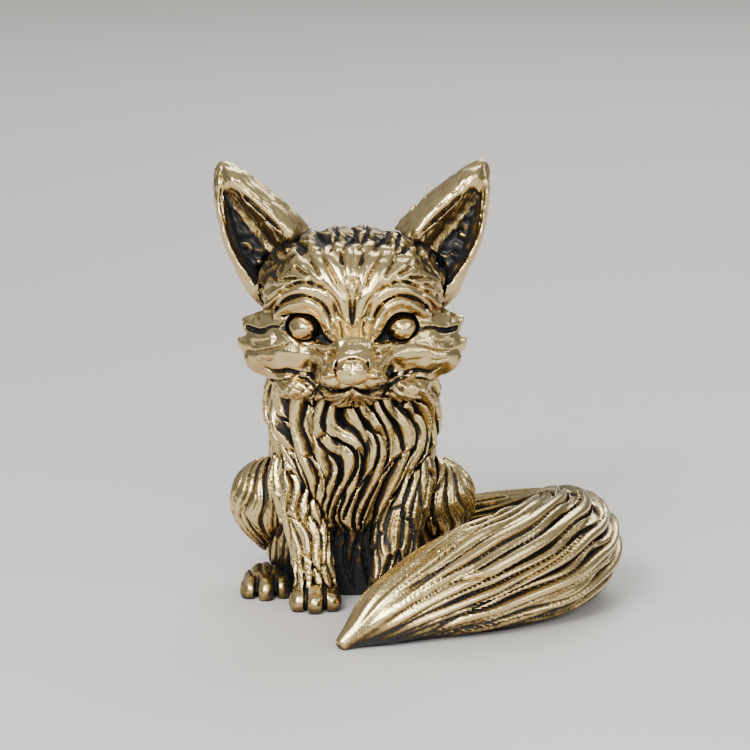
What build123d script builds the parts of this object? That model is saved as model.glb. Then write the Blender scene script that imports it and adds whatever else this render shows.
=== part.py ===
from build123d import *
from math import cos, radians, sin, tau
import os

# A small seated fox, cast in brass with a darkened antique finish.
# It faces -Y and its brush wraps round its own left side (+X) to the front.
# The origin is the middle of the flat seat under the rump, and +Z is up.
# The figure is one rigid casting. Each modelled section is a closed solid,
# and every smaller section is cut where a larger one already is, so that
# neighbours meet face to face. All sizes are in millimetres.

os.makedirs("parts", exist_ok=True)

# Torso: seat, belly, chest and neck in one column that leans forward.
torso_height = 20.5
torso_width = 14.2
torso_depth = 14.8
torso_lean = 4.6
# height, width, depth and lean of each station, as shares of the four sizes
torso_shares = (
    (0.00, 0.84, 0.86, 0.00),
    (0.10, 0.98, 0.99, 0.00),
    (0.26, 1.00, 1.00, 0.10),
    (0.52, 0.93, 0.90, 0.46),
    (0.78, 0.88, 0.80, 0.84),
    (1.00, 0.66, 0.62, 1.00),
)

# Coat: long locks laid down the back, side by side from the nape to the brush.
coat_count = 9
coat_spread = 136.0
coat_lock_width = 2.1
coat_lock_thickness = 1.5
coat_sink = 0.25
coat_height_shares = (0.82, 0.66, 0.46, 0.25)
coat_taper_shares = ((0.0, 0.4), (0.25, 0.9), (0.6, 1.0), (0.85, 0.6))

# The ruff is measured from the chest at the top of the torso.
chest_width_share = 0.88
chest_depth_share = 0.82
chest_top_share = 0.985

# Chest ruff: a fluted bib of long locks that ends in a point.
ruff_drop = 14.2
ruff_thickness = 0.65
ruff_lead = 1.0
ruff_point_lead = 3.4
ruff_groove = 0.62
ruff_lobes = 18
# drop, width, depth and forward lean of each station, as shares
ruff_shares = (
    (0.00, 0.84, 0.90, 0.00),
    (0.18, 0.98, 1.00, 0.03),
    (0.42, 1.00, 0.98, 0.06),
    (0.64, 0.86, 0.80, 0.30),
    (0.82, 0.58, 0.56, 0.62),
    (0.94, 0.28, 0.32, 0.90),
    (1.00, 0.10, 0.12, 1.00),
)

# Head: a broad skull on the neck, and full cheeks low in front of it.
skull_width = 14.8
skull_depth = 12.8
skull_height = 9.1
skull_seat_share = 0.48
cheek_width = 16.4
cheek_depth = 10.4
cheek_height = 8.6
cheek_drop_share = 0.46
cheek_forward_share = 0.12

# Head locks: flat ridges over the forehead, and longer ones down the back of the skull.
skull_lock_width = 1.9
skull_lock_thickness = 1.3
skull_lock_sink = 0.3
skull_lock_taper_shares = ((0.0, 0.35), (0.3, 0.9), (0.6, 1.0), (0.85, 0.6))
# number of locks, spread of the fan, and the climb from the face at which they start and end, in degrees
skull_lock_fans = (
    (6, 104.0, 38.0, 84.0),
    (8, 128.0, 104.0, 150.0),
)

# Eyes: each ball sits in a slanted almond socket, placed in shares of the half skull.
eye_width = 2.7
eye_height = 2.5
eye_depth = 2.6
eye_side_share = 0.51
eye_forward_share = 0.77
eye_drop_share = 0.58
socket_width = 4.6
socket_height = 2.6
socket_depth = 2.4
socket_lead = 1.2
socket_slant = 17.0

# Muzzle, whisker pads, nose and lower jaw: the muzzle starts at the front of the
# cheeks, and the rest is placed in shares of its length and height.
muzzle_length = 8.8
muzzle_width = 5.7
muzzle_height = 4.4
muzzle_lead = 0.2
muzzle_tilt = 22.0
muzzle_drop_share = 1.12
pad_width = 2.9
pad_depth = 3.0
pad_height = 2.6
pad_spacing_share = 0.83
pad_forward_share = 0.23
pad_drop_share = 0.20
nose_width = 2.4
nose_depth = 1.9
nose_height = 1.7
nose_forward_share = 0.40
nose_drop_share = 0.10
jaw_width = 5.0
jaw_depth = 5.8
jaw_height = 2.9
jaw_drop_share = 0.54

# Ears: tall shells, open to the front, placed in shares of the half skull.
ear_length = 10.3
ear_width = 7.0
ear_depth = 4.6
ear_spread = 31.0
ear_back_tilt = 5.0
ear_side_share = 0.69
ear_back_share = 0.14
ear_lift_share = 0.11
ear_root = 1.4
ear_hollow_width = 4.7
ear_hollow_depth = 4.0
ear_hollow_forward = 1.9
ear_hollow_outward = 0.7
# distance up the ear, width and depth of each station, as shares
ear_shares = (
    (0.00, 0.90, 0.92),
    (0.22, 1.00, 1.00),
    (0.46, 0.88, 0.84),
    (0.70, 0.62, 0.62),
    (0.88, 0.36, 0.42),
    (0.97, 0.18, 0.26),
)
ear_hollow_shares = (
    (0.06, 0.80, 0.90),
    (0.26, 1.00, 1.00),
    (0.48, 0.86, 0.82),
    (0.68, 0.52, 0.54),
    (0.80, 0.26, 0.30),
)
ear_hollow_end_share = 0.88

# Cheek tufts: three pointed locks fan out past the side of each cheek.
tuft_width = 3.4
tuft_thickness = 3.0
tuft_overhang = 1.1
tuft_root_share = 0.56
tuft_forward = 1.6
tuft_drop = 2.6
tuft_curl = 0.8
tuft_taper_shares = ((0.0, 1.0), (0.4, 0.9), (0.75, 0.5))
# outward reach, forward place and drop of each lock, as shares
tuft_fan_shares = (
    (0.90, 0.00, 0.20),
    (1.00, 0.50, 0.70),
    (0.86, 1.00, 1.20),
)

# Brow ridges and upper eyelids: tapering arches over each eye.
brow_width = 6.0
brow_rise = 2.8
brow_thickness = 1.3
brow_lead = 0.3
brow_wrap = 2.6
lid_width = 4.9
lid_rise = 1.4
lid_thickness = 0.9
lid_lead = 0.6
lid_wrap = 1.5
arch_taper_shares = ((0.0, 0.45), (0.2, 0.85), (0.5, 1.0), (0.8, 0.8), (1.0, 0.4))

# Crown tufts: short locks over the top of the head, between the ears.
crown_width = 5.6
crown_count = 4
crown_lock_width = 2.2
crown_lock_length = 4.4
crown_lock_height = 1.7
crown_back = 0.4
crown_lift_share = 0.73
crown_curl = 0.6

# Forelegs and fore paws: the legs leave the chest and draw together at the ankles.
foreleg_top_share = 0.57
foreleg_side_share = 0.63
foreleg_forward_share = 0.47
foreleg_ankle = 1.5
foreleg_width = 4.6
foreleg_depth = 5.0
foreleg_draw_in = 1.55
foreleg_reach = 3.1
# way down the leg, width, depth, and way inward and forward, as shares
foreleg_shares = (
    (0.00, 0.80, 0.90, 0.00),
    (0.25, 1.00, 1.00, 0.24),
    (0.55, 0.84, 0.76, 0.62),
    (0.85, 0.74, 0.62, 0.92),
    (1.00, 0.78, 0.66, 1.00),
)
fore_paw_width = 3.9
fore_paw_length = 4.8
fore_paw_height = 2.3
toe_count = 3
toe_length = 2.3
toe_height = 1.7
toe_lap = 0.35
toe_spread_share = 0.95
toe_fan_share = 0.9
paw_sink_share = 0.3

# Haunches and hind paws, placed in shares of the torso.
haunch_length = 8.8
haunch_girth = 7.0
haunch_tilt = 24.0
haunch_side_share = 0.45
haunch_forward_share = 0.11
haunch_lift_share = 0.30
# distance up the thigh and girth, as shares
haunch_shares = (
    (0.00, 0.00),
    (0.10, 0.36),
    (0.30, 0.74),
    (0.58, 1.00),
    (0.86, 0.70),
    (1.00, 0.00),
)
hind_paw_width = 4.0
hind_paw_length = 7.4
hind_paw_height = 2.0
hind_paw_side_share = 0.48
hind_paw_forward_share = 0.30

# Brush: a long fluted teardrop that leaves the rump, turns and runs forward.
# Its flutes wind round it by the twist, in degrees, from root to tip.
tail_girth = 9.6
tail_side = 17.0
tail_front = 23.0
tail_flat = 0.35
tail_groove_share = 0.09
tail_lobes = 14
tail_sections = 17
tail_twist = -170.0
# side, front and girth of each station, as shares of the three sizes
tail_shares = (
    (0.10, -0.22, 0.42),
    (0.50, -0.27, 0.58),
    (0.86, -0.08, 0.74),
    (0.99, 0.24, 0.95),
    (0.86, 0.54, 1.00),
    (0.50, 0.76, 0.88),
    (0.14, 0.91, 0.52),
    (-0.06, 1.00, 0.12),
)

# Places that follow from the sizes above; forward is towards -Y.
head_height = torso_height + skull_height * skull_seat_share
head_forward = torso_lean
cheek_forward = head_forward + skull_depth * cheek_forward_share
cheek_line = head_height - skull_height * cheek_drop_share
eye_side = skull_width / 2 * eye_side_share
eye_forward = head_forward + skull_depth / 2 * eye_forward_share
eye_line = head_height - skull_height / 2 * eye_drop_share
muzzle_forward = cheek_forward + cheek_depth / 2 + muzzle_lead
muzzle_line = head_height - skull_height * cheek_drop_share * muzzle_drop_share
pad_place = (
    pad_width * pad_spacing_share / 2,
    -muzzle_forward - muzzle_length * pad_forward_share,
    muzzle_line - muzzle_height * pad_drop_share,
)
nose_place = (
    0,
    -muzzle_forward - muzzle_length * nose_forward_share,
    muzzle_line - muzzle_height * nose_drop_share,
)
jaw_place = (0, -muzzle_forward, muzzle_line - muzzle_height * jaw_drop_share)
ear_place = Vector(
    skull_width / 2 * ear_side_share,
    -head_forward + skull_depth / 2 * ear_back_share,
    head_height + skull_height / 2 * ear_lift_share,
)
ankle_side = torso_width / 2 * foreleg_side_share - foreleg_draw_in
ankle_forward = torso_depth * foreleg_forward_share + foreleg_reach
haunch_place = Vector(
    torso_width * haunch_side_share,
    -torso_depth * haunch_forward_share,
    torso_height * haunch_lift_share,
)


def on_torso(height, turn):
    """The place on the torso's outline at a share of its height, turned from the middle of the back."""
    for low, high in zip(torso_shares, torso_shares[1:]):
        if height <= high[0]:
            break
    share = (height - low[0]) / (high[0] - low[0])
    width, depth, lean = [a + (b - a) * share for a, b in zip(low[1:], high[1:])]
    across = (torso_width / 2 * width - coat_sink) * sin(turn)
    back = (torso_depth / 2 * depth - coat_sink) * cos(turn)
    return Vector(across, back - torso_lean * lean, torso_height * height)


def on_skull(climb, turn):
    """The place on the skull that lies climb degrees up from the face, on a line turned from the middle."""
    climb, turn = radians(climb), radians(turn)
    across = (skull_width / 2 - skull_lock_sink) * sin(climb) * sin(turn)
    forward = (skull_depth / 2 - skull_lock_sink) * cos(climb)
    up = (skull_height / 2 - skull_lock_sink) * sin(climb) * cos(turn)
    return Vector(across, -head_forward - forward, head_height + up)


def girth_at(along, stops):
    """The girth at a place along the brush, between the two stops that lie on either side of it."""
    for (before, low), (after, high) in zip(stops, stops[1:]):
        if along <= after:
            break
    return low + (high - low) * (along - before) / (after - before)


def oval(plane, width, depth):
    """An oval section on a plane."""
    with BuildSketch(plane) as section:
        Ellipse(width / 2, depth / 2)
    return section.sketch


def fluted_oval(plane, width, depth, groove, lobes, turn):
    """An oval section whose outline is a ring of rounded lobes with grooves between them."""
    inner = (width / 2 - groove, depth / 2 - groove)
    outer = (width / 2, depth / 2)
    edges = [tau * lobe / lobes + turn for lobe in range(lobes + 1)]
    with BuildSketch(plane) as section:
        with BuildLine():
            for start, end in zip(edges, edges[1:]):
                middle = (start + end) / 2
                ThreePointArc(
                    (inner[0] * cos(start), inner[1] * sin(start)),
                    (outer[0] * cos(middle), outer[1] * sin(middle)),
                    (inner[0] * cos(end), inner[1] * sin(end)),
                )
        make_face()
    return section.sketch


def ellipsoid(centre, width, depth, height, tilt=0.0):
    """A ball stretched to three sizes and tilted nose down, for the builder blocks to add."""
    ball = Rot(0, 0, 90) * Sphere(1, mode=Mode.PRIVATE)
    stretched = scale(ball, by=(width / 2, depth / 2, height / 2), mode=Mode.PRIVATE)
    return Pos(*centre) * Rot(tilt, 0, 0) * stretched


def lock(points, width, thickness, taper, x_dir):
    """A pointed lock of fur that tapers along a curve through the points."""
    with BuildLine():
        line = Spline(points)
    sections = [
        oval(Plane(origin=line @ along, x_dir=x_dir, z_dir=line % along), width * girth, thickness * girth)
        for along, girth in taper
    ]
    return loft([*sections, Vertex(line @ 1)], mode=Mode.PRIVATE)


def arch(lead, width, rise, thickness, wrap):
    """A tapering arch over the left eye, whose outer end wraps back round the skull."""
    middle = Vector(eye_side, -eye_forward - lead, eye_line)
    half = Vector(width / 2, 0, 0).rotate(Axis.Y, -socket_slant)
    with BuildLine():
        line = Spline(middle - half, middle + Vector(0, 0, rise), middle + half + Vector(0, wrap, 0))
    sections = []
    for along, girth in arch_taper_shares:
        level = Plane(origin=line @ along, x_dir=(0, 1, 0), z_dir=line % along)
        sections.append(oval(level, thickness * girth, thickness * girth))
    return loft(sections, mode=Mode.PRIVATE)


def paw(across, forward, width, length, height):
    """A paw on the floor: a rounded pad with a fan of toes at its front, cut flat at z = 0."""
    sink = height * paw_sink_share
    add(ellipsoid((across, -forward, sink), width, length, 2 * (height - sink)))
    for toe in range(toe_count):
        place = (toe + 0.5) / toe_count - 0.5
        centre = (
            across + width * toe_spread_share * place,
            -forward - length / 2 + toe_length / 2 + toe_length * abs(place) * toe_fan_share - toe_lap,
            sink,
        )
        add(ellipsoid(centre, width / toe_count + toe_lap, toe_length, 2 * (toe_height - sink)))
    split(bisect_by=Plane.XY, keep=Keep.TOP)


def cut(section, *neighbours):
    """Cut a section where larger ones already are, and drop the loose slivers this can leave."""
    for neighbour in neighbours:
        add(neighbour.part, mode=Mode.SUBTRACT)
    add(section.solids().sort_by(SortBy.VOLUME)[-1], mode=Mode.REPLACE)


# Torso
with BuildPart() as torso:
    loft([
        oval(
            Plane(origin=(0, -torso_lean * lean, torso_height * height)),
            torso_width * width,
            torso_depth * depth,
        )
        for height, width, depth, lean in torso_shares
    ])
    for place in range(coat_count):
        turn = radians(coat_spread) * (place / (coat_count - 1) - 0.5)
        path = [on_torso(height, turn) for height in coat_height_shares]
        sideways = (cos(turn), -sin(turn), 0)
        add(lock(path, coat_lock_width, coat_lock_thickness, coat_taper_shares, sideways))

# Left eye ball, and the head with both balls seated in its sockets
with BuildPart() as eye:
    add(ellipsoid((eye_side, -eye_forward, eye_line), eye_width, eye_depth, eye_height))

with BuildPart() as head:
    add(ellipsoid((0, -head_forward, head_height), skull_width, skull_depth, skull_height))
    add(ellipsoid((0, -cheek_forward, cheek_line), cheek_width, cheek_depth, cheek_height))
    for count, fan, start, end in skull_lock_fans:
        for place in range(count):
            turn = fan * (place / (count - 1) - 0.5)
            path = [on_skull(climb, turn) for climb in (start, (start + end) / 2, end)]
            sideways = (cos(radians(turn)), 0, -sin(radians(turn)))
            add(lock(path, skull_lock_width, skull_lock_thickness, skull_lock_taper_shares, sideways))
    socket = Rot(0, -socket_slant, 0) * ellipsoid((0, 0, 0), socket_width, socket_depth, socket_height)
    socket = Pos(eye_side, -eye_forward - socket_lead, eye_line) * socket
    for hollow in (socket, eye.part):
        add(hollow, mode=Mode.SUBTRACT)
        mirror(hollow, about=Plane.YZ, mode=Mode.SUBTRACT)
    cut(head, torso)

# Nose, muzzle with its two whisker pads, and lower jaw
with BuildPart() as nose:
    add(ellipsoid(nose_place, nose_width, nose_depth, nose_height))

with BuildPart() as muzzle:
    pad = ellipsoid(pad_place, pad_width, pad_depth, pad_height)
    add(ellipsoid((0, -muzzle_forward, muzzle_line), muzzle_width, muzzle_length, muzzle_height, muzzle_tilt))
    add(pad)
    mirror(pad, about=Plane.YZ)
    add(eye.part, mode=Mode.SUBTRACT)
    mirror(eye.part, about=Plane.YZ, mode=Mode.SUBTRACT)
    cut(muzzle, nose, head, torso)

with BuildPart() as jaw:
    add(ellipsoid(jaw_place, jaw_width, jaw_depth, jaw_height))
    cut(jaw, torso, head, muzzle)

# Chest ruff
with BuildPart() as ruff:
    sections = []
    for drop, width, depth, lead in ruff_shares:
        place = (
            0,
            -torso_lean - ruff_lead - ruff_point_lead * lead,
            torso_height * chest_top_share - ruff_drop * drop,
        )
        sections.append(fluted_oval(
            Plane(origin=place),
            (torso_width * chest_width_share + 2 * ruff_thickness) * width,
            torso_depth * chest_depth_share * depth,
            ruff_groove * min(width, depth),
            ruff_lobes,
            0,
        ))
    loft(sections)
    cut(ruff, torso, head, muzzle, jaw)

# Left ear: a shell with a hollow that opens to the front
stance = Plane(origin=ear_place, x_dir=(1, 0, 0), z_dir=(0, 0, 1)).rotated((-ear_back_tilt, ear_spread, 0))
with BuildPart() as ear:
    shell = [
        oval(stance.offset(ear_length * along - ear_root * (1 - along)), ear_width * width, ear_depth * depth)
        for along, width, depth in ear_shares
    ]
    loft([*shell, Vertex(stance.offset(ear_length).origin)])
    hollow = []
    for along, width, depth in ear_hollow_shares:
        level = stance.offset(ear_length * along)
        centre = level.from_local_coords((ear_hollow_outward * width, -ear_hollow_forward * depth, 0))
        hollow.append(oval(
            Plane(origin=centre, x_dir=level.x_dir, z_dir=level.z_dir),
            ear_hollow_width * width,
            ear_hollow_depth * depth,
        ))
    end = (ear_hollow_outward * width, -ear_hollow_forward * depth, ear_length * ear_hollow_end_share)
    loft([*hollow, Vertex(stance.from_local_coords(end))], mode=Mode.SUBTRACT)
    cut(ear, head)

# Left cheek tufts
with BuildPart() as cheek_tufts:
    for reach, forward, drop in tuft_fan_shares:
        root = Vector(
            cheek_width / 2 * tuft_root_share,
            -head_forward - tuft_forward * (1 + forward),
            eye_line - tuft_drop * drop,
        )
        reach_out = cheek_width / 2 * (1 - tuft_root_share) + tuft_overhang
        tip = root + Vector(reach_out * reach, 0, tuft_curl)
        elbow = (root + tip) / 2 - Vector(0, 0, tuft_curl)
        add(lock([root, elbow, tip], tuft_thickness, tuft_width, tuft_taper_shares, (0, 1, 0)))
    cut(cheek_tufts, torso, head, muzzle, ruff)

# Left eyelid and brow ridge
with BuildPart() as eyelid:
    add(arch(lid_lead, lid_width, lid_rise, lid_thickness, lid_wrap))
    cut(eyelid, eye, head, muzzle)

with BuildPart() as brow:
    add(arch(brow_lead, brow_width, brow_rise, brow_thickness, brow_wrap))
    cut(brow, head, muzzle, eyelid)

# Crown tufts
with BuildPart() as crown:
    for place in range(crown_count):
        across = crown_width * (place / (crown_count - 1) - 0.5)
        root = Vector(across, -head_forward + crown_back, head_height + skull_height / 2 * crown_lift_share)
        tip = root + Vector(0, crown_lock_length, crown_curl)
        crest = (root + tip) / 2 + Vector(0, 0, crown_curl)
        add(lock([root, crest, tip], crown_lock_width, crown_lock_height, tuft_taper_shares, (1, 0, 0)))
    mirror(ear.part, about=Plane.YZ, mode=Mode.SUBTRACT)
    cut(crown, head, ear)

# Left hind paw and haunch, a teardrop turned about its own leaning axis
with BuildPart() as hind_paw:
    side = torso_width * hind_paw_side_share
    paw(side, torso_depth * hind_paw_forward_share, hind_paw_width, hind_paw_length, hind_paw_height)
    cut(hind_paw, torso)

stance = Plane(origin=haunch_place, x_dir=(0, 1, 0), z_dir=(1, 0, 0)).rotated((haunch_tilt, 0, 0))
with BuildPart() as haunch:
    with BuildSketch(stance):
        with BuildLine():
            rim = [
                (haunch_girth / 2 * girth, haunch_length * (along - 0.5))
                for along, girth in haunch_shares
            ]
            Spline(rim)
            Line(rim[-1], rim[0])
        make_face()
    revolve(axis=Axis(stance.origin, stance.y_dir))
    cut(haunch, torso, ruff, hind_paw)

# Left fore paw and foreleg
with BuildPart() as fore_paw:
    paw(ankle_side, ankle_forward, fore_paw_width, fore_paw_length, fore_paw_height)

with BuildPart() as foreleg:
    sections = []
    for down, width, depth, drawn in foreleg_shares:
        place = (
            ankle_side + foreleg_draw_in * (1 - drawn),
            -ankle_forward + foreleg_reach * (1 - drawn),
            foreleg_ankle + (torso_height * foreleg_top_share - foreleg_ankle) * (1 - down),
        )
        sections.append(oval(Plane(origin=place), foreleg_width * width, foreleg_depth * depth))
    loft(sections)
    cut(foreleg, torso, ruff, haunch, hind_paw, fore_paw)

# Brush
with BuildPart() as brush:
    places = [
        Vector(tail_side * side, -tail_front * front, tail_girth * girth / 2 - tail_flat)
        for side, front, girth in tail_shares
    ]
    with BuildLine():
        line = Spline(places)
    stops = [
        (line.param_at_point(place), girth)
        for place, (side, front, girth) in zip(places, tail_shares)
    ]
    sections = []
    for section in range(tail_sections):
        along = section / (tail_sections - 1)
        girth = girth_at(along, stops)
        sections.append(fluted_oval(
            Plane(origin=line @ along, x_dir=(0, 0, 1), z_dir=line % along),
            tail_girth * girth,
            tail_girth * girth,
            tail_girth * girth * tail_groove_share,
            tail_lobes,
            radians(tail_twist) * along,
        ))
    loft(sections)
    split(bisect_by=Plane.XY, keep=Keep.TOP)
    cut(brush, torso, haunch, hind_paw, foreleg, fore_paw)

# Names and files: the pieces on the middle line, then each pair from its left piece
pieces = {
    "torso": torso.part,
    "chest_ruff": ruff.part,
    "head": head.part,
    "muzzle": muzzle.part,
    "nose": nose.part,
    "lower_jaw": jaw.part,
    "crown_tufts": crown.part,
    "brush": brush.part,
}
pairs = {
    "ear": ear,
    "eye": eye,
    "eyelid": eyelid,
    "brow": brow,
    "cheek_tufts": cheek_tufts,
    "foreleg": foreleg,
    "fore_paw": fore_paw,
    "haunch": haunch,
    "hind_paw": hind_paw,
}
for name, left in pairs.items():
    with BuildPart() as right:
        mirror(left.part, about=Plane.YZ)
    pieces[f"left_{name}"] = left.part
    pieces[f"right_{name}"] = right.part

for name, piece in pieces.items():
    piece.label = name
    export_step(piece, f"parts/{name}.step")
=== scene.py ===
from collections import namedtuple
from concurrent.futures import ThreadPoolExecutor
from math import atan, cos, radians, sin, tau

import bpy
import numpy as np
import openvdb as vdb
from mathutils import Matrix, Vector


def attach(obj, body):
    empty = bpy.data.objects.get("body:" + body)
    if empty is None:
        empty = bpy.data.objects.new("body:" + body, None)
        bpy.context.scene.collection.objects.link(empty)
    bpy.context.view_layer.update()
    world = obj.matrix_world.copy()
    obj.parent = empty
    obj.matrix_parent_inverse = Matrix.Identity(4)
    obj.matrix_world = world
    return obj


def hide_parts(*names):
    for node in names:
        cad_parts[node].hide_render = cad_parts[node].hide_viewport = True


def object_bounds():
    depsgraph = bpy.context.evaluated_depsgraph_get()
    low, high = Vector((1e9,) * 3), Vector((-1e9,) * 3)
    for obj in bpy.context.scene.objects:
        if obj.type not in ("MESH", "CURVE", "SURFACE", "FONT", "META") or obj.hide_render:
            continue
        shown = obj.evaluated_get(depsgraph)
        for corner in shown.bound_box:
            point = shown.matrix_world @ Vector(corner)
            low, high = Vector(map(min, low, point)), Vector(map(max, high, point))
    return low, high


# A seated fox in antiqued brass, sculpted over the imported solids.
# Each piece starts as the distance field of its own solids, is carved as clay is,
# and is cast as one closed mesh. The clay is in millimetres and the scene in metres.

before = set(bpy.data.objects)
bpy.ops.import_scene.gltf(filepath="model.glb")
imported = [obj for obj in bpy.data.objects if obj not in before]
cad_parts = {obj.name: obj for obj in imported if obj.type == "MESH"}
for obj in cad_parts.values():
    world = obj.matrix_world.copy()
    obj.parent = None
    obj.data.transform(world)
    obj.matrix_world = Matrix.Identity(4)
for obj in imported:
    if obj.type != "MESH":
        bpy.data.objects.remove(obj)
cad_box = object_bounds()

MM = 0.001
# How far from a surface its distances are kept, and how far from it the tools reach
FAR = 1.5
SKIN = 1.15


def node_arrays(node):
    """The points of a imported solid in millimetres, and its triangles."""
    mesh = node.data
    mesh.calc_loop_triangles()
    places = np.empty(len(mesh.vertices) * 3, np.float32)
    mesh.vertices.foreach_get("co", places)
    corners = np.empty(len(mesh.loop_triangles) * 3, np.int32)
    mesh.loop_triangles.foreach_get("vertices", corners)
    return places.reshape(-1, 3) / np.float32(MM), corners.reshape(-1, 3).astype(np.uint32)


# The side of the middle plane on which each of the fox's own sides lies
SIGNS = {"left": 1, "right": -1}
SOLIDS = {name: node_arrays(node) for name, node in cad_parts.items()}


def solid_box(*nodes):
    """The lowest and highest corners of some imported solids, in millimetres."""
    lows = [SOLIDS[node][0].min(axis=0) for node in nodes]
    highs = [SOLIDS[node][0].max(axis=0) for node in nodes]
    return np.min(lows, axis=0).astype(float), np.max(highs, axis=0).astype(float)


def add_object(name, data):
    """A new object in the scene."""
    added = bpy.data.objects.new(name, data)
    bpy.context.scene.collection.objects.link(added)
    return added


# Camera: the photograph is taken from slightly above, with a long lens.
PHOTO_WIDTH = 750
SENSOR_WIDTH = 36.0
FOCAL_PIXELS = 4216
ORIGIN_ACROSS = 352
ORIGIN_DOWN = 576
VIEW_DISTANCE = 340 * MM
VIEW_ELEVATION = radians(14)
NEAREST_SEEN = 10 * MM


def place_camera():
    """Looks at the fox as the photograph does, turned a little so that the lens needs no shift."""
    data = bpy.data.cameras.new("camera")
    data.sensor_width = SENSOR_WIDTH
    data.lens = SENSOR_WIDTH * FOCAL_PIXELS / PHOTO_WIDTH
    data.clip_start = NEAREST_SEEN
    camera = add_object("camera", data)
    camera.location = (0, -VIEW_DISTANCE * cos(VIEW_ELEVATION), VIEW_DISTANCE * sin(VIEW_ELEVATION))
    pitch = VIEW_ELEVATION - atan((ORIGIN_DOWN - PHOTO_WIDTH / 2) / FOCAL_PIXELS)
    turn = atan((PHOTO_WIDTH / 2 - ORIGIN_ACROSS) / FOCAL_PIXELS)
    camera.rotation_euler = (radians(90) - pitch, 0, -turn)
    bpy.context.scene.camera = camera


def node_material(name):
    """A new node material: (material, its node tree, its Principled shader)."""
    material = bpy.data.materials.new(name)
    material.use_nodes = True
    tree = material.node_tree
    return material, tree, tree.nodes["Principled BSDF"]


# Floor, lights and studio, in metres and watts
FLOOR_REACH = 1.2
FLOOR_COLOUR = (0.62, 0.60, 0.57, 1)
FLOOR_ROUGHNESS = 0.6
# Soft boxes: place, width and power
SOFT_BOXES = {
    "key": ((-0.14, -0.30, 0.27), 0.24, 2.1),
    "spark": ((-0.10, -0.30, 0.24), 0.04, 0.4),
    "front": ((0.10, -0.38, 0.17), 0.20, 0.75),
    "fill": ((0.32, -0.20, 0.18), 0.20, 0.45),
    "back": ((0.08, 0.30, 0.30), 0.26, 1.0),
}
LIGHT_AIM = (0.004, -0.006, 0.015)
# The studio's brightness from level with the fox up to nearly overhead
STUDIO_HEIGHTS = (0.0, 0.9)
STUDIO_LEVELS = (0.16, 0.50)
STUDIO_COLOUR = (1.0, 0.99, 0.97, 1)


def place_floor():
    """A plain pale floor that reaches past the picture."""
    r = FLOOR_REACH
    mesh = bpy.data.meshes.new("floor")
    mesh.from_pydata([(-r, -r, 0), (r, -r, 0), (r, r, 0), (-r, r, 0)], [], [(0, 1, 2, 3)])
    floor = add_object("floor", mesh)
    material, _, shader = node_material("pale_floor")
    shader.inputs["Base Color"].default_value = FLOOR_COLOUR
    shader.inputs["Roughness"].default_value = FLOOR_ROUGHNESS
    mesh.materials.append(material)


def soft_light(name, place, size, watts):
    """A square soft box that points at the fox."""
    data = bpy.data.lights.new(name, "AREA")
    data.shape = "SQUARE"
    data.size = size
    data.energy = watts
    light = add_object(name, data)
    light.location = place
    direction = light.location.copy()
    for k in range(3):
        direction[k] -= LIGHT_AIM[k]
    light.rotation_euler = direction.to_track_quat("Z", "Y").to_euler()


def spread(tree, value, span, new_span):
    """A value moved from one span to another, and held to it."""
    node = tree.nodes.new("ShaderNodeMapRange")
    tree.links.new(value, node.inputs["Value"])
    for word, number in zip(("From Min", "From Max", "To Min", "To Max"), (*span, *new_span)):
        node.inputs[word].default_value = number
    return node.outputs["Result"]


def place_lights():
    """Soft boxes in front, at the right and behind, and a studio that is paler overhead."""
    for name, (place, size, watts) in SOFT_BOXES.items():
        soft_light(name, place, size, watts)
    world = bpy.data.worlds.new("studio")
    world.use_nodes = True
    tree = world.node_tree
    place = tree.nodes.new("ShaderNodeTexCoord")
    parts = tree.nodes.new("ShaderNodeSeparateXYZ")
    tree.links.new(place.outputs["Generated"], parts.inputs["Vector"])
    sky = spread(tree, parts.outputs["Z"], STUDIO_HEIGHTS, STUDIO_LEVELS)
    background = tree.nodes["Background"]
    tree.links.new(sky, background.inputs["Strength"])
    background.inputs["Color"].default_value = STUDIO_COLOUR
    bpy.context.scene.world = world


# Clay: fields of distance, and the tools that shape them


def smooth_union(one, other, blend):
    """The union of two fields, with a fillet about as wide as blend."""
    if blend == 0:
        return np.minimum(one, other)
    share = np.clip(0.5 + 0.5 * (other - one) / blend, 0, 1)
    return other + (one - other) * share - blend * share * (1 - share)


def smooth_step(value, low, high):
    """0 at low and short of it, 1 at high and past it, and an even curve between them.
    Where low is the larger, past it means below it."""
    share = np.clip((value - low) / (high - low), 0, 1)
    return share * share * (3 - 2 * share)


def smooth_line(points, parts=6):
    """A curve through given points, as closely spaced places."""
    points = np.array(points, float)
    ends = np.vstack([2 * points[0] - points[1], points, 2 * points[-1] - points[-2]])
    places = []
    for a, b, c, d in zip(ends, ends[1:], ends[2:], ends[3:]):
        for t in np.arange(parts) / parts:
            places.append(0.5 * (2 * b + (c - a) * t + (2 * a - 5 * b + 4 * c - d) * t**2
                                 + (3 * b - a - 3 * c + d) * t**3))
    places.append(points[-1])
    return np.array(places)


# Waves that a ripple adds up, how their lengths vary, and what brings their sum back to about 1
RIPPLE_WAVES = 5
RIPPLE_SPREAD = (0.6, 1.3)
RIPPLE_LEVEL = 2.2


def ripple(points, wave, seed):
    """A smooth wandering value between about -1 and 1 that changes over wave millimetres."""
    rng = np.random.default_rng(seed)
    points = points.astype(np.float32)
    total = np.zeros(len(points), np.float32)
    for _ in range(RIPPLE_WAVES):
        direction = rng.normal(size=3)
        direction *= tau / wave / np.linalg.norm(direction) * rng.uniform(*RIPPLE_SPREAD)
        total += np.sin(points @ direction.astype(np.float32) + np.float32(rng.uniform(0, tau)))
    return total / RIPPLE_LEVEL


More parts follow.
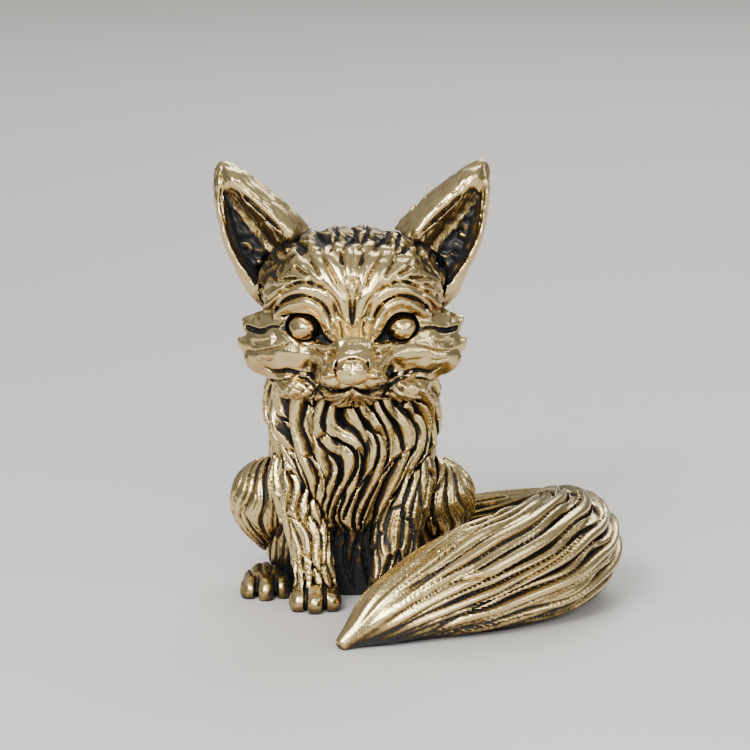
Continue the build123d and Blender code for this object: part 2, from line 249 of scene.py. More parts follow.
class Clay:
    """A closed form as distances to its surface on a grid; inside is negative."""

    def __init__(self, nodes, step):
        low, high = solid_box(*nodes)
        self.step = step
        self.low = low - FAR
        size = high + FAR - self.low
        self.shape = tuple(np.ceil(size / step).astype(int) + 1)
        self.field = np.full(self.shape, FAR, np.float32)

    def solid(self, node):
        """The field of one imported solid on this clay's grid."""
        places, corners = SOLIDS[node]
        grid = vdb.FloatGrid.createLevelSetFromPolygons(
            places - self.low.astype(np.float32),
            triangles=corners,
            transform=vdb.createLinearTransform(voxelSize=self.step),
            halfWidth=FAR / self.step,
        )
        field = np.empty(self.shape, np.float32)
        grid.copyToArray(field)
        return field

    def add(self, node, blend=0.0):
        """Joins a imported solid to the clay."""
        self.field = smooth_union(self.field, self.solid(node), blend)

    def box_of(self, low, high):
        """The slices of the grid between two corners, and the points there along each axis."""
        first = np.floor((low - self.low) / self.step).astype(int)
        last = np.ceil((high - self.low) / self.step).astype(int) + 1
        first, last = np.clip(first, 0, self.shape), np.clip(last, 0, self.shape)
        places = [self.low[k] + self.step * np.arange(first[k], last[k]) for k in range(3)]
        where = tuple(slice(a, b) for a, b in zip(first, last))
        return where, np.meshgrid(*places, indexing="ij", sparse=True)

    def add_ball(self, centre, radii, blend):
        """Joins a ball, stretched to three radii."""
        reach = np.array(radii) + FAR
        where, places = self.box_of(centre - reach, centre + reach)
        scaled = np.sqrt(sum(((places[k] - centre[k]) / radii[k])**2 for k in range(3)))
        ball = np.minimum((scaled - 1) * min(radii), FAR).astype(np.float32)
        self.field[where] = smooth_union(self.field[where], ball, blend)

    def soften(self, rounds):
        """Rounds off the edges and creases that are too sharp for the grid."""
        for axis in tuple(range(3)) * rounds:
            field = np.moveaxis(self.field, axis, 0)
            field[1:-1] = 0.5 * field[1:-1] + 0.25 * (field[2:] + field[:-2])

    def skin(self):
        """The grid places near the surface: their indices and their points."""
        index = np.flatnonzero(np.abs(self.field) < SKIN)
        cells = np.stack(np.unravel_index(index, self.shape), axis=1).astype(np.float32)
        return index, cells * np.float32(self.step) + self.low.astype(np.float32)

    def facing(self, index, axis):
        """How the surface faces along an axis there: 1 to its high end, and -1 to its low one."""
        stride = self.field.strides[axis] // self.field.itemsize
        flat = self.field.reshape(-1)
        ahead = flat[np.minimum(index + stride, flat.size - 1)]
        behind = flat[np.maximum(index - stride, 0)]
        return np.clip((ahead - behind) / (2 * self.step), -1, 1)

    def push(self, index, height):
        """Moves the surface out by height at these grid places, or in where it is negative."""
        flat = self.field.reshape(-1)
        flat[index] -= height

    def mesh(self):
        """The surface as points in millimetres and quads, without loose crumbs."""
        grid = vdb.FloatGrid(FAR)
        grid.copyFromArray(np.clip(self.field, -FAR, FAR))
        points, quads = grid.convertToQuads()
        points = points.astype(np.float64) * self.step + self.low
        keep = largest_shell(len(points), quads)
        quads = quads[keep[quads[:, 0]]]
        used, quads = np.unique(quads, return_inverse=True)
        return points[used], quads.reshape(-1, 4)


def clay_of(node, step, rounds=0):
    """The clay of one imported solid, softened first, with the places near its surface."""
    clay = Clay([node], step)
    clay.add(node)
    clay.soften(rounds)
    return clay, *clay.skin()


def neighbours(count, edges):
    """The neighbours of each point in one list, and where each point's share of it starts."""
    both = np.concatenate([edges, edges[:, ::-1]])
    order = np.argsort(both[:, 0], kind="stable")
    return both[order, 1], np.searchsorted(both[order, 0], np.arange(count))


def largest_shell(count, quads):
    """True for the points of the shell that has most points."""
    edges = np.concatenate([quads[:, [0, 1]], quads[:, [1, 2]], quads[:, [2, 3]], quads[:, [3, 0]]])
    near, starts = neighbours(count, edges)
    label = np.arange(count)
    while True:
        new = np.minimum(label, np.minimum.reduceat(label[near], starts))
        new = new[new[new]]
        if np.array_equal(new, label):
            break
        label = new
    names, sizes = np.unique(label, return_counts=True)
    return label == names[np.argmax(sizes)]


# Coats: points worked on at once, rows before the locks repeat, how far a lock strays across and
# along, the sharp part of a gap as a share of a lock's width and at least in millimetres, how much
# a lock rises along itself and by chance, and how its hairs wave
CHUNK = 60000
COAT_ROWS = 64
STRAY_ACROSS = 0.6
STRAY_ALONG = 0.8
SLIT_SHARE = 0.11
SLIT_LEAST = 0.15
RISE_ALONG = 1.6
RISE_CHANCE = 1.2
HAIR_WAVE = 0.25
HAIR_TURNS = 3


def fur(u, v, width, length, seed, around=64, depth=0.4, slit=0.2, shingle=0.12,
        hairs=2, hair=0.03, cross=0.3):
    """The height of a coat of pointed locks. u counts lanes of locks across, which repeat after
    around of them, and v counts locks along. Gaps between locks are depth deep, and slit more along
    their middles. Where the ends of two locks meet, the share cross of that is left. A lock rises
    by about shingle to its end, and has hairs grooves along it that are hair deep."""
    rng = np.random.default_rng(seed)
    table = rng.random((around, COAT_ROWS, 3)).astype(np.float32)
    stagger = rng.random(around).astype(np.float32)

    def height_of(u, v):
        """The height at some of the places, from the two locks nearest to each."""
        column = np.floor(u).astype(np.int32)
        found = []
        for i in (-1, 0, 1):
            lane = column + i
            shift = stagger[lane % around]
            row = np.floor(v + shift).astype(np.int32)
            for j in (-1, 0, 1):
                pick = table[lane % around, (row + j) % COAT_ROWS]
                du = u - lane - 0.5 - (pick[:, 0] - 0.5) * STRAY_ACROSS
                dv = v + shift - row - j - 0.5 - (pick[:, 1] - 0.5) * STRAY_ALONG
                found.append((du, dv, pick[:, 2]))
        places = np.array(found)
        reach = places[:, 0]**2 + places[:, 1]**2
        every = np.arange(len(u))
        first = reach.argmin(axis=0)
        nearest = reach[first, every]
        reach[first, every] = np.inf
        second = reach.argmin(axis=0)
        du, dv, chance = places[first, :, every].T
        other_du, other_dv, _ = places[second, :, every].T
        sideways = (du - other_du) / width
        slope = np.maximum(np.hypot(sideways, (dv - other_dv) / length), 1e-3)
        edge = (reach[second, every] - nearest) / 2 / slope
        gap = cross + (1 - cross) * (sideways / slope)**2
        share = np.clip(edge / (width * 0.5), 0, 1)
        height = depth * gap * (np.sqrt(1 - (1 - share)**2) - 1)
        height -= slit * gap * np.exp(-(edge / max(SLIT_SHARE * width, SLIT_LEAST))**2)
        height += shingle * (dv * RISE_ALONG + (chance - 0.5) * RISE_CHANCE)
        lines = np.cos(tau * (du * hairs + chance + HAIR_WAVE * np.sin(v * HAIR_TURNS)))
        return height - hair * (1 - np.abs(lines))**2 * 2

    ends = range(CHUNK, len(u), CHUNK)
    parts = [np.split(np.asarray(values, np.float32), ends) for values in (u, v)]
    return np.concatenate([height_of(*part) for part in zip(*parts)]).astype(np.float32)


def line_distance(across, up, line):
    """How far places of a plane are from a line, and how far along it they lie, from 0 to 1."""
    nearest = np.full(len(across), np.inf, np.float32)
    along = np.zeros(len(across), np.float32)
    steps = len(line) - 1
    for k, (start, end) in enumerate(zip(line, line[1:])):
        run = end - start
        share = ((across - start[0]) * run[0] + (up - start[1]) * run[1]) / max(run @ run, 1e-9)
        share = np.clip(share, 0, 1)
        reach = np.hypot(across - start[0] - share * run[0], up - start[1] - share * run[1])
        nearer = reach < nearest
        nearest = np.where(nearer, reach, nearest)
        along = np.where(nearer, (k + share) / steps, along)
    return nearest, along


# How blunt the ends of a stroke are, as a share of its fade, and the least share of its width there
STROKE_BLUNT = 0.25
STROKE_LEAST = 0.05


def stroke(height, across, up, points, width, rise, fade=0.3, join=np.add, power=2.0):
    """Adds one stroke of the tool to height: a ridge, or a groove where rise is negative. The share
    fade of its length narrows to each end, and a low power makes its sides steep."""
    line = smooth_line(points)
    low, high = line.min(axis=0) - width, line.max(axis=0) + width
    near = (across > low[0]) & (across < high[0]) & (up > low[1]) & (up < high[1])
    near = np.flatnonzero(near)
    reach, along = line_distance(across[near], up[near], line)
    taper = smooth_step(np.minimum(along, 1 - along), -STROKE_BLUNT * fade, fade)
    share = np.clip(reach / (width / 2 * np.maximum(taper, STROKE_LEAST)), 0, 1)
    height[near] = join(height[near], rise * taper * (1 - share**2)**power)


# Head: brows, lids, cheeks, muzzle and crown are one form, with the eyes set in it.

# The face is drawn as it is seen, from the camera's height: across, and up the picture.
# Places are in millimetres from the middle line and from the floor point under the rump.
HEAD_STEP = 0.1
# The head's solids, and how wide the fillets are that join them
HEAD_BLENDS = {
    "head": 0, "muzzle": 1.6, "lower_jaw": 0.5,
    "left_cheek_tufts": 1.6, "left_brow": 0.4, "left_eyelid": 0.5,
    "right_cheek_tufts": 1.6, "right_brow": 0.4, "right_eyelid": 0.5,
    "crown_tufts": 0.3,
}
# Balls on both sides: offset from the middle of the nose, radii and fillet
WHISKER_PAD = ((1.55, 0.15, -0.5), (0.92, 1.05, 0.88), 0.12)
JAW_CORNER = ((3.7, 5.4, -2.2), (2.3, 2.0, 1.0), 1.4)
EYE_STEP = 0.06
EYE_PLACE = (3.66, 19.25)
EYE_RADII = (1.12, 1.28, 1.0)
EYE_LEAD = 0.25
EYE_OPENING = [
    (1.5, 17.95), (1.93, 18.25), (2.3, 18.8), (2.6, 19.4), (3.0, 19.97), (3.6, 20.3), (4.4, 20.3),
    (5.0, 20.0), (5.45, 19.5), (5.7, 19.1), (5.2, 18.95), (4.75, 18.7), (4.3, 18.42), (3.4, 18.3),
    (2.7, 18.2), (2.1, 17.95),
]
# Flame-shaped locks of the forehead, from the hairline to the bridge of the nose, and their widths
FOREHEAD_LOCKS = [
    ([(0.30, 25.3), (0.30, 24.3), (0.28, 23.4), (0.10, 22.5)], 0.75),
    ([(2.16, 25.3), (1.54, 24.2), (1.0, 23.36), (0.69, 22.5), (0.42, 21.6)], 0.95),
    ([(3.2, 24.95), (2.39, 23.75), (1.93, 22.8), (1.5, 22.0), (0.85, 21.2), (0.5, 20.3),
      (0.25, 19.3)], 1.05),
    ([(4.4, 24.4), (3.47, 23.6), (2.7, 22.95), (2.2, 22.3)], 1.0),
    ([(5.3, 23.7), (4.1, 23.1), (3.1, 22.65)], 0.8),
    ([(6.3, 22.7), (5.4, 22.75), (4.3, 22.75)], 0.6),
    ([(6.9, 21.4), (6.1, 22.15), (5.2, 22.4)], 0.6),
    ([(6.9, 20.6), (6.2, 21.4), (5.5, 21.9)], 0.55),
]
# Rounded forms of the face: points, width and height. The third is the upper lid.
UPPER_LID = 2
FACE_RIDGES = [
    ([(5.4, 21.0), (4.4, 21.5), (3.4, 21.45), (2.4, 20.9), (1.7, 19.8)], 2.4, 0.12),
    ([(6.15, 20.3), (5.7, 21.05), (5.0, 21.74), (4.0, 22.15), (3.08, 22.1), (2.31, 21.74),
      (1.85, 21.1), (1.6, 20.4), (1.35, 19.5)], 0.95, 0.2),
    ([(5.75, 20.0), (5.2, 20.66), (4.4, 20.97), (3.6, 21.0), (2.85, 20.6), (2.35, 20.0),
      (2.0, 19.4), (1.75, 18.8)], 0.95, 0.28),
    ([(5.4, 18.75), (4.6, 18.3), (3.6, 18.0), (2.6, 17.75), (1.7, 17.6)], 0.7, 0.15),
    ([(8.4, 17.4), (7.0, 17.1), (5.5, 17.0), (4.2, 16.9), (3.0, 16.9)], 2.4, 0.3),
    ([(8.0, 18.5), (6.9, 18.4), (5.8, 18.3)], 1.2, 0.15),
    ([(2.3, 18.6), (2.15, 17.7), (2.4, 16.9)], 1.8, -0.3),
    ([(2.85, 16.5), (2.75, 15.6), (2.55, 14.8), (2.1, 14.1)], 0.9, -0.16),
    ([(1.5, 17.6), (1.75, 16.9), (2.1, 16.4)], 1.0, -0.2),
    ([(1.72, 15.55), (1.68, 14.95)], 1.5, 0.36),
    ([(0.2, 18.1), (0.2, 17.0)], 1.5, 0.16),
    ([(1.9, 13.75), (1.2, 13.65), (0.0, 13.75)], 0.8, 0.2),
]
# Thin dark lines: points, width and depth
FACE_LINES = [
    ([(5.4, 22.15), (4.7, 22.5), (4.0, 22.62), (3.2, 22.5), (2.4, 22.15), (1.7, 21.74),
      (1.16, 21.1), (0.85, 20.4), (0.5, 19.6)], 0.24, 0.16),
    ([(5.9, 20.4), (5.4, 21.15), (4.7, 21.5), (3.86, 21.6), (3.08, 21.42), (2.35, 20.95),
      (1.9, 20.3), (1.65, 19.6)], 0.26, 0.24),
    ([(2.35, 24.7), (1.85, 23.98), (1.39, 23.2), (1.15, 22.6), (1.0, 22.1)], 0.22, 0.14),
    ([(0.5, 23.1), (0.4, 22.4), (0.2, 21.7), (0.0, 21.1)], 0.24, 0.14),
    ([(0.0, 21.4), (0.0, 20.4), (0.0, 19.0)], 0.3, 0.16),
    ([(1.15, 16.6), (1.22, 16.0), (1.1, 15.3), (0.75, 14.9), (0.3, 14.75), (-0.3, 14.75)],
     0.32, 0.34),
    ([(0.92, 25.4), (0.77, 24.3), (0.56, 23.75)], 0.24, 0.2),
    ([(3.3, 24.4), (2.95, 23.95), (2.7, 23.5), (2.4, 22.9)], 0.24, 0.16),
    ([(4.6, 24.1), (3.9, 23.45), (3.3, 23.1)], 0.26, 0.16),
    ([(5.7, 23.15), (4.9, 22.98), (4.2, 23.0)], 0.3, 0.2),
    ([(6.7, 21.9), (6.0, 22.35), (5.4, 22.55)], 0.24, 0.14),
    ([(6.7, 21.1), (6.0, 21.75), (5.5, 22.1)], 0.24, 0.14),
    ([(0.95, 19.75), (0.87, 19.0), (0.98, 18.15)], 0.24, 0.18),
    ([(2.2, 17.15), (1.4, 16.7)], 0.2, 0.1),
    ([(5.5, 19.2), (6.1, 19.25), (6.7, 19.1)], 0.34, 0.3),
    ([(6.4, 19.05), (7.1, 18.95), (7.7, 19.15), (8.3, 19.5)], 0.6, 0.4),
    ([(8.5, 17.75), (7.6, 17.5), (6.6, 17.5), (5.3, 17.75), (4.7, 18.0)], 0.24, 0.16),
    ([(7.9, 18.3), (7.0, 18.15), (6.1, 18.25)], 0.2, 0.12),
    ([(7.6, 16.9), (6.6, 16.7), (5.9, 16.8)], 0.2, 0.1),
    ([(2.5, 15.0), (3.1, 15.45), (4.0, 15.6), (4.9, 15.9), (6.0, 15.9), (7.4, 16.5)], 0.36, 0.24),
    ([(6.6, 15.3), (5.6, 15.2), (4.6, 15.3)], 0.24, 0.14),
    ([(2.0, 13.5), (2.7, 14.45), (3.4, 15.1), (4.3, 15.35)], 0.28, 0.2),
    ([(2.3, 14.75), (1.95, 14.4), (1.5, 14.2), (0.9, 14.15), (0.4, 14.3), (0.0, 14.5)], 0.32, 0.4),
    ([(0.0, 15.05), (0.0, 14.4)], 0.26, 0.22),
]
# The bright mask of the face, under the dark crest and the gaps in front of the ears
FACE_MASK = [
    (-1.0, 25.6), (0.5, 25.3), (1.2, 25.6), (2.3, 25.3), (3.2, 25.15), (3.7, 24.7), (4.4, 24.7),
    (5.0, 24.1), (5.5, 23.9), (5.9, 23.3), (6.5, 22.9), (7.0, 22.1), (7.7, 20.8), (12.0, 20.6),
    (12.0, 9.0), (-1.0, 9.0),
]
# Parts of the face, across and up, each from the edge where it starts to the edge where it is full
CHEEK = ((2.2, 3.6), (19.9, 19.3))
TUFT_TIPS = ((7.4, 8.6), (20.6, 19.6))
JOWL = ((5.4, 7.2), (16.6, 15.2))
UNDER_CHEEK = ((2.2, 3.0), (15.9, 15.2))
CREST = ((3.8, 2.8), (25.2, 26.2))
CROWN_BY_EAR = ((2.4, 3.2), (24.5, 25.5))
OUTER_TUFTS = ((1.9, 2.5), (26.9, 27.4))
OUTER_TUFTS_END = (5.0, 4.4)
FOREHEAD_FOOT = (19.8, 20.8)
FOREHEAD_TOP = (25.1, 24.7)
# What lies in front on the head, by the place along Y and by how it faces
FACE_FRONT = (-5.0, -6.0)
FACE_TURN = (0.0, 0.35)
# The snout is set back round the nose: place up the picture, stretch across, reach, foot and depth
SNOUT_UP = 16.0
SNOUT_STRETCH = 1.35
SNOUT_REACH = (2.3, 1.5)
SNOUT_FOOT = (14.9, 15.4)
SNOUT_FRONT = (-9.0, -10.5)
SNOUT_DEPTH = 0.35
# Fur runs over the skull from a pole on the bridge of the nose to a calm place at the nape
SKULL_MIDDLE = (0, -4.6, 22.3)
FUR_POLE = (0, -0.95, -0.31)
SKULL_COAT = {"width": 1.2, "length": 4.2, "seed": 11, "around": 34, "depth": 0.26, "hairs": 3}
SKULL_ROW = 0.62
NAPE = (2.2, 2.8)
# Where the drawn face keeps the fur away: round the eye and the nose, by place across, stretch,
# place up and reach
EYE_BARE = (EYE_PLACE[0], 1.25, EYE_PLACE[1] + 0.6, (3.4, 2.6))
NOSE_BARE = (0, 1.15, 17.0, (3.8, 3.0))


def seen_plane(points):
    """Where points lie in the plane that the photograph sees: across from the middle, and up."""
    upright, leaning = np.float32(cos(VIEW_ELEVATION)), np.float32(sin(VIEW_ELEVATION))
    return np.abs(points[:, 0]), points[:, 2] * upright + points[:, 1] * leaning


def face_plane(points):
    """The seen plane, bent a little, so that what is drawn on it looks cut by hand."""
    across, up = seen_plane(points)
    wander = 0.10 * ripple(points, 3.5, 7)
    return across + wander, up + 0.6 * wander


def inside_outline(across, up, outline):
    """Signed distance to a closed outline; inside is negative."""
    line = smooth_line(outline + outline[:1], 3)
    reach, _ = line_distance(across, up, line)
    inside = np.zeros(len(across), bool)
    for start, end in zip(line, line[1:]):
        crosses = (start[1] > up) != (end[1] > up)
        rise = end[1] - start[1] if end[1] != start[1] else 1
        inside ^= crosses & (across < start[0] + (up - start[1]) * (end[0] - start[0]) / rise)
    return np.where(inside, -reach, reach)


def beyond_mask(points, across, up, blur):
    """0 on the bright mask of the face, and 1 past its torn edge."""
    jagged = 0.14 * ripple(points, 0.9, 9)
    return smooth_step(inside_outline(across + jagged, up + jagged, FACE_MASK), -0.05, blur)


def patch(across, up, edges):
    """1 in a part of the face and 0 outside it."""
    return smooth_step(across, *edges[0]) * smooth_step(up, *edges[1])


def head_form():
    """The head's solids as one form, with a set-back snout, whisker pads and room for the nose."""
    head = Clay(HEAD_BLENDS, HEAD_STEP)
    for node, blend in HEAD_BLENDS.items():
        head.add(node, blend)
    index, points = head.skin()
    across, up = seen_plane(points)
    snout = smooth_step(np.hypot(across / SNOUT_STRETCH, up - SNOUT_UP), *SNOUT_REACH)
    snout *= smooth_step(up, *SNOUT_FOOT)
    head.push(index, -SNOUT_DEPTH * snout * smooth_step(points[:, 1], *SNOUT_FRONT))
    nose = sum(solid_box("nose")) / 2
    for sign in (-1, 1):
        for offset, radii, blend in (WHISKER_PAD, JAW_CORNER):
            head.add_ball(nose * (0, 1, 1) + np.array(offset) * (sign, 1, 1), radii, blend)
    head.field = np.maximum(head.field, -head.solid("nose"))
    head.soften(1)
    return head


def skull_coat(points):
    """Fur that leaves the bridge of the nose and runs over the skull."""
    pole = np.array(FUR_POLE, np.float32)
    pole /= np.linalg.norm(pole)
    rise = np.array([0, pole[2], -pole[1]], np.float32)
    away = points - np.array(SKULL_MIDDLE, np.float32)
    away /= np.linalg.norm(away, axis=1, keepdims=True)
    sway = ripple(points, 6.0, 3)
    angle = np.arctan2(away[:, 0], away @ rise) + 0.07 * sway
    from_pole = np.arccos(np.clip(away @ pole, -1, 1))
    coat = fur(angle / tau * SKULL_COAT["around"], from_pole / SKULL_ROW + 0.2 * sway, **SKULL_COAT)
    return coat * (1 - 0.85 * smooth_step(from_pole, *NAPE))


def bare_face(across, up):
    """Where the face is drawn and has no fur."""
    bare = 0
    for middle, stretch, place, reach in (EYE_BARE, NOSE_BARE):
        bare = bare + smooth_step(np.hypot((across - middle) / stretch, up - place), *reach)
    bare = np.clip(bare + patch(across, up, CHEEK), 0, 1)
    return np.maximum(bare, smooth_step(up, *FOREHEAD_FOOT) * smooth_step(up, *FOREHEAD_TOP))


def sculpt_head():
    """The head, carved by strokes on the face and by radiating fur behind it."""
    head = head_form()
    index, points = head.skin()
    across, up = face_plane(points)
    front = smooth_step(-head.facing(index, 1), *FACE_TURN) * smooth_step(points[:, 1], *FACE_FRONT)
    bare = bare_face(across, up) * front
    height = skull_coat(points) * (1 - 0.95 * bare)

    drawn = np.zeros(len(across), np.float32)
    for line, width in FOREHEAD_LOCKS:
        stroke(drawn, across, up, line, 1.15 * width, 0.28, 0.2, np.maximum, 0.7)
    for line, width, rise in FACE_RIDGES:
        stroke(drawn, across, up, line, width, rise, 0.22, power=1.3)
    for line, width, depth in FACE_LINES:
        stroke(drawn, across, up, line, width, -depth, 0.18)
    beyond = beyond_mask(points, across, up, 0.3)
    height += front * (drawn + 0.1 * beyond * ripple(points, 0.8, 10))
    height += 0.035 * patch(across, up, UNDER_CHEEK) * ripple(points, 0.7, 13)
    height += 0.03 * ripple(points, 1.3, 8) * (1 - 0.5 * bare)

    # Places that lie deeper than in the solids
    crown = 0.35 * front * beyond + 0.25 * patch(across, up, CREST)
    height -= 0.7 * patch(across, up, JOWL) + 0.25 * patch(across, up, TUFT_TIPS)
    height -= crown * (1 - patch(across, up, CROWN_BY_EAR))
    height -= patch(across, up, OUTER_TUFTS) * smooth_step(across, *OUTER_TUFTS_END)
    head.push(index, height)

    # The almond openings, down to half the depth of the balls
    flat = head.field.reshape(-1)
    depth_line = sum(solid_box("left_eye"))[1] / 2
    cavity = np.maximum(inside_outline(across, up, EYE_OPENING), points[:, 1] - depth_line)
    flat[index] = np.maximum(flat[index], -cavity)
    return head


def head_rub_and_painted_light(points, normals):
    """The crown, the lines and the eye sockets stay dark, the face is lighter as rubbed metal and
    as painted highlight, and the lower muzzle and chin are darker as painted shade.
    """
    across, up = face_plane(points)
    front = smooth_step(points[:, 1], *FACE_FRONT) * smooth_step(-normals[:, 1], 0.0, 0.3)
    ink = np.zeros(len(points), np.float32)
    for line, width, depth in FACE_LINES:
        stroke(ink, across, up, line, width, depth, 0.18, np.maximum)
    socket = smooth_step(-inside_outline(across, up, EYE_OPENING), -0.05, 0.06)
    face = smooth_step(points[:, 1], -7.0, -9.5) * smooth_step(up, 14.8, 16.2)
    lid = np.zeros(len(points), np.float32)
    stroke(lid, across, up, FACE_RIDGES[UPPER_LID][0], 1.2, 0.16, 0.2)
    # The face is lighter, partly as rubbed metal and partly as painted highlight; the lower muzzle
    # and chin are darker as painted shade
    worn = 0.24 * face - 0.1 * smooth_step(up, 15.6, 14.2) - lid
    worn -= front * np.maximum(1.2 * ink, 0.9 * socket)
    return worn - 0.45 * beyond_mask(points, across, up, 0.2) - 0.2 * smooth_step(up, *CREST[1])


def no_rub(points, normals):
    """The same wear all over."""
    return np.zeros(len(points))


def painted_shade_behind_brush(points, normals):
    """Painted shade over the whole piece, which lies behind the brush."""
    return np.full(len(points), -0.5)


def ruff_rub(points, normals):
    """Some locks of the ruff are worn, and others are still brown."""
    return 0.14 * ripple(points, 2.2, 35) - 0.04


def belly_painted_shade(points, normals):
    """Painted shade on the belly between the forelegs."""
    # Painted shade, darker towards the front of the belly
    return -0.4 * smooth_step(points[:, 1], -3.5, -5.5)


def sculpt_eye(side):
    """A polished bead, lower than it is wide, and very slightly uneven."""
    eye = Clay([f"{side}_eye"], EYE_STEP)
    eye.add_ball(sum(solid_box(f"{side}_eye")) / 2 - (0, EYE_LEAD, 0), EYE_RADII, 0)
    index, points = eye.skin()
    eye.push(index, 0.03 * ripple(points, 1.1, 5))
    return eye


NOSE_STEP = 0.06
# The nose stands out all round, and further in front
NOSE_GROWTH = 0.1
NOSE_LEAD = 0.3


def sculpt_nose():
    """The nose pad: a rounded block with two faint nostrils."""
    nose, index, points = clay_of("nose", NOSE_STEP)
    across, up = seen_plane(points)
    front = smooth_step(-nose.facing(index, 1), 0.25, 0.75)
    height = 0.02 * ripple(points, 1.5, 6) + NOSE_GROWTH + NOSE_LEAD * front
    stroke(height, across, up, [(0.5, 16.6), (0.65, 15.2)], 1.2, 0.22, 0.3)
    stroke(height, across, up, [(0.75, 15.75), (0.45, 15.85), (0.3, 15.6)], 0.24, -0.08)
    nose.push(index, height)
    return nose


# Ears, drawn as the face is: the broad fold of the inner rim, the thin outer rim, and the hollow
EAR_ROOT = np.array([5.1, -3.7, 25.4])
EAR_TIP = np.array([10.4, -2.8, 34.2])
EAR_STEP = 0.09
EAR_COAT = {"width": 1.0, "length": 6.0, "around": 16, "depth": 0.24, "slit": 0.14, "shingle": 0.08,
            "hair": 0.02}
# Strokes: points, width, height and fade
EAR_STROKES = [
    ([(10.0, 31.9), (9.2, 30.9), (7.75, 29.5), (6.2, 28.1), (5.0, 26.8), (4.1, 25.6)],
     2.8, 0.8, 0.2),
    ([(8.9, 30.1), (7.6, 28.8), (6.3, 27.6), (5.3, 26.6)], 0.36, -0.3, 0.2),
    ([(7.3, 27.9), (6.6, 27.1), (5.9, 26.2), (5.1, 25.4)], 0.9, 0.45, 0.2),
    ([(10.3, 31.6), (10.55, 30.2), (10.45, 28.4), (9.95, 26.5), (9.0, 24.6), (7.6, 22.9)],
     1.0, 0.4, 0.2),
    ([(9.7, 31.2), (8.6, 30.4), (7.2, 29.2), (6.0, 28.1)], 0.24, -0.12, 0.3),
    ([(8.0, 29.1), (6.9, 28.3), (5.9, 27.3), (5.0, 26.3)], 0.24, -0.12, 0.3),
    ([(10.2, 30.6), (10.25, 29.0), (9.9, 27.2), (9.2, 25.6)], 0.24, -0.12, 0.3),
    ([(6.6, 28.0), (5.8, 27.2), (5.2, 26.4)], 0.24, -0.12, 0.3),
]
EAR_HOLLOW = [
    (9.7, 29.4), (9.2, 28.8), (8.1, 27.4), (6.9, 25.9), (5.9, 24.6), (5.6, 23.6), (6.9, 23.1),
    (8.3, 24.5), (9.2, 26.4), (9.75, 28.2),
]


def sculpt_ear(side):
    """An ear: long folds along its rims, a rough dark hollow, and fur down its back."""
    sign = SIGNS[side]
    seed = 20 + sign
    ear, index, points = clay_of(f"{side}_ear", EAR_STEP)
    axis = EAR_TIP - EAR_ROOT
    length = np.linalg.norm(axis)
    axis = axis / length
    out = np.cross(axis, [0, -1, 0])
    out /= np.linalg.norm(out)
    ahead = np.cross(out, axis)
    local = points * np.array([sign, 1, 1], np.float32) - EAR_ROOT.astype(np.float32)
    along, outward, forward = (local @ line.astype(np.float32) for line in (axis, out, ahead))
    turns = np.arctan2(outward, forward) / tau
    lanes = turns * EAR_COAT["around"] + 0.3 * ripple(points, 5.0, seed)
    coat = fur(lanes, along / EAR_COAT["length"], seed=seed, **EAR_COAT)

    across, up = seen_plane(points)
    wander = 0.10 * ripple(points, 3.0, seed + 2)
    across, up = across + wander, up + wander
    front = smooth_step(-ear.facing(index, 1), -0.1, 0.3)
    hollow = smooth_step(-inside_outline(across, up, EAR_HOLLOW), -0.1, 0.5) * front
    height = coat * (1 - 0.5 * smooth_step(along / length, 0.75, 1.0)) * (1 - 0.75 * front)
    drawn = np.zeros(len(across), np.float32)
    for line, width, rise, fade in EAR_STROKES:
        stroke(drawn, across, up, line, width, rise, fade)
    height += drawn * front + 0.04 * ripple(points, 1.0, seed + 3)
    height += hollow * (0.14 * ripple(points, 0.7, seed + 1) - 0.35)
    ear.push(index, height)
    return ear


def ear_rub(points, normals):
    """The hollow of the ear keeps its patina, apart from a few rough places."""
    across, up = seen_plane(points)
    front = smooth_step(-normals[:, 1], -0.2, 0.2)
    hollow = smooth_step(-inside_outline(across, up, EAR_HOLLOW), -0.3, 0.3) * front
    rough = 0.2 * ripple(points, 1.9, 29) + 0.16 * ripple(points, 0.5, 30)
    return (rough - 0.3) * hollow + (0.04 + 0.06 * ripple(points, 1.2, 28)) * (1 - hollow)


# Body: ruff, torso, legs and paws. Each coat's lanes run round the middle of its piece.
RUFF_STEP = 0.11
RUFF_COAT = {"width": 1.0, "length": 6.5, "seed": 33, "around": 36, "depth": 0.5, "slit": 0.42,
             "shingle": 0.2, "hair": 0.05}
RUFF_GROWTH = 0.1
# The middle of the neck along Y at the top of the ruff, and how far back it lies at its point
RUFF_MIDDLE = 4.6
RUFF_SLANT = 1.5
RUFF_ROWS = 2.0
TORSO_STEP = 0.15
TORSO_COAT = {"width": 1.15, "length": 6.5, "seed": 42, "around": 38, "depth": 0.24, "slit": 0.2,
              "shingle": 0.1, "hair": 0.04}
TORSO_LEAN = 0.22
# Coats of the legs, whose seeds differ from side to side
LEG_STEP = 0.1
FORELEG_COAT = {"width": 0.85, "length": 3.2, "around": 13, "depth": 0.3, "slit": 0.2,
                "shingle": 0.14, "hair": 0.04, "cross": 0.5}
# The foreleg's middle line: where it meets the ground, and how it leans out and back with height
FORELEG_FOOT = (2.9, -10.2)
FORELEG_LEAN = (0.12, 0.22)
HAUNCH_COAT = {"width": 1.15, "length": 6.0, "around": 16, "depth": 0.2, "slit": 0.16,
               "shingle": 0.1, "hair": 0.05}
HAUNCH_MIDDLE = 6.5
PAW_STEP = 0.09
PAW_COAT = {"width": 0.8, "length": 2.6, "seed": 62, "depth": 0.16, "slit": 0.1, "shingle": 0.05,
            "hair": 0.02}
# Gaps between toes: places as shares of the paw's width, half width, depth, spread and ends
TOE_GAPS = (-0.17, 0.17)
TOE_GAP_HALF = 0.24
TOE_GAP_DEPTH = 0.5
TOE_SPREAD = 0.25
TOE_MIDDLE = 2.0
TOE_ENDS = (2.6, 1.6)


